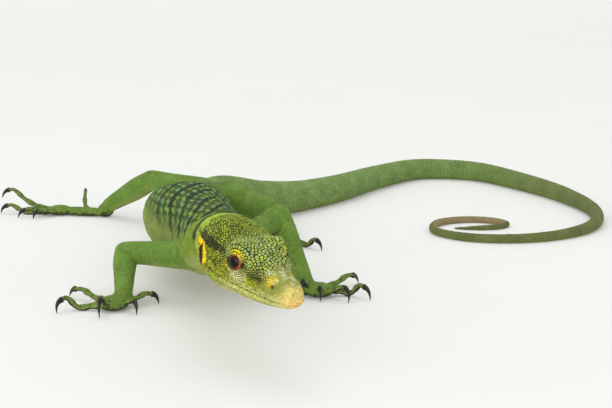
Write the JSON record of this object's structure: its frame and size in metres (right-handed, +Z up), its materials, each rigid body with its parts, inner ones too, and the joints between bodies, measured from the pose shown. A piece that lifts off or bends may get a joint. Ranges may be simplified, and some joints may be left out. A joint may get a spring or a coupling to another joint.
{
  "type": "emerald tree monitor",
  "caption": "Life-size still model of a slender green tree lizard walking low on the floor, its head turned to its left and its long tail laid in a hook.",
  "frame": {"origin": "on the floor, below the middle of the whole animal's box", "axes": "+Z up, -Y the way the animal walks, +X its left side"},
  "size_m": [0.259, 0.3392, 0.043],
  "materials": {
    "skin": "satin",
    "head_skin": "satin",
    "tail_skin": "satin",
    "eye": "gloss",
    "claw": "satin"
  },
  "bodies": {
    "root": {"eye_right": "eye", "eye_left": "eye", "head": "head_skin", "lower_jaw": "head_skin", "neck": "skin", "torso_front": "skin", "torso_rear": "skin", "pelvis": "skin", "tail_1": "tail_skin", "tail_2": "tail_skin", "tail_3": "tail_skin", "tail_4": "tail_skin", "tail_5": "tail_skin", "tail_6": "tail_skin", "tail_7": "tail_skin", "tail_8": "tail_skin", "upper_arm_right": "skin", "forearm_right": "skin", "hand_right": "skin", "thigh_right": "skin", "shank_right": "skin", "foot_right": "skin", "claw_hand_right_1": "claw", "claw_hand_right_2": "claw", "claw_hand_right_3": "claw", "claw_hand_right_4": "claw", "claw_hand_right_5": "claw", "claw_foot_right_1": "claw", "claw_foot_right_2": "claw", "claw_foot_right_3": "claw", "claw_foot_right_4": "claw", "claw_foot_right_5": "claw", "upper_arm_left": "skin", "forearm_left": "skin", "hand_left": "skin", "thigh_left": "skin", "shank_left": "skin", "foot_left": "skin", "claw_hand_left_1": "claw", "claw_hand_left_2": "claw", "claw_hand_left_3": "claw", "claw_hand_left_4": "claw", "claw_hand_left_5": "claw", "claw_foot_left_1": "claw", "claw_foot_left_2": "claw", "claw_foot_left_3": "claw", "claw_foot_left_4": "claw", "claw_foot_left_5": "claw"}
  },
  "joints": []
}
